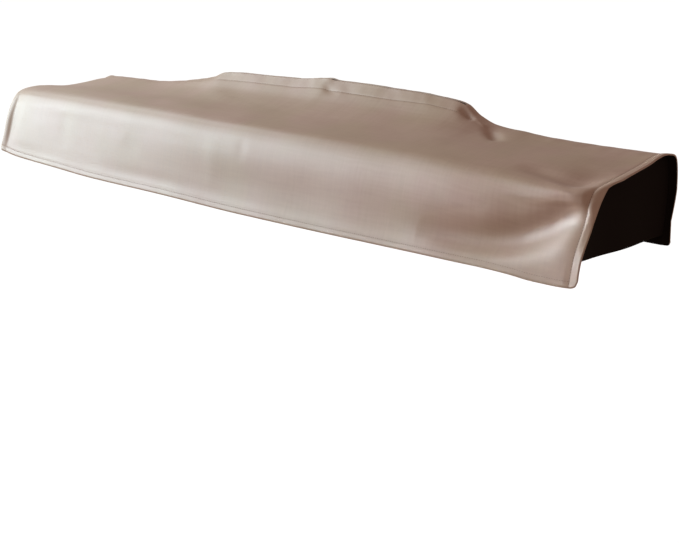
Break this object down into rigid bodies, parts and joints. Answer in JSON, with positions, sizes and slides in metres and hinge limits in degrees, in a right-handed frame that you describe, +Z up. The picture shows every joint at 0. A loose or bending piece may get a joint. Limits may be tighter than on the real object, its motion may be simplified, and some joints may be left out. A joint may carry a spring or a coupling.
{
  "type": "keyboard dust cover",
  "caption": "Long draped cloth cover, open below, that fits over a slab keyboard, with closed ends and a hemmed slot in its top for a music rest.",
  "frame": {"origin": "the middle of the keyboard's top, just under the cloth, where the keyboard holds the cover up", "axes": "+X to the right along the keyboard, +Y to its back, +Z up"},
  "size_m": [1.3066, 0.3164, 0.2088],
  "materials": {
    "panel_cloth": "smooth coated cloth in taupe, with a soft satin sheen",
    "end_cloth": "matt cloth in a brown that is nearly black"
  },
  "bodies": {
    "root": {"main_panel": "panel_cloth", "end_panel_right": "end_cloth", "end_panel_left": "end_cloth"}
  },
  "joints": []
}
